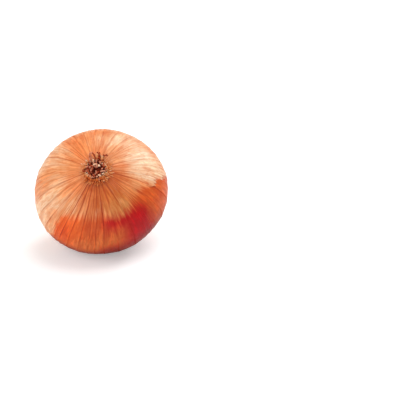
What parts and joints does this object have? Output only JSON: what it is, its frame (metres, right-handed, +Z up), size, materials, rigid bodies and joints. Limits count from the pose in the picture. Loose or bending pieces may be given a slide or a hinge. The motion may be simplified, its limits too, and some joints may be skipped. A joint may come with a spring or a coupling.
{
  "type": "onion",
  "caption": "Whole yellow onion lying on its neck flank, root end up: flat-globe bulb in ribbed dry skin, trimmed root tuft, short bent dry neck.",
  "frame": {"origin": "on the floor, straight below the centre of the bulb's widest ring, on the flat spot that the bulb rests on", "axes": "+Z up; the bulb's axis lies in the YZ plane, with the root end up and towards -Y and the neck down and towards +Y"},
  "size_m": [0.0771, 0.069, 0.063],
  "materials": {
    "dry_skin": "satin dry skin, tan to orange with red-brown patches and dark veins",
    "dry_root": "matt, dark brown, fibrous",
    "dry_leaf": "matt, straw brown, papery"
  },
  "bodies": {
    "root": {"bulb": "dry_skin", "root_tuft": "dry_root", "neck_leaves": "dry_leaf"}
  },
  "joints": []
}
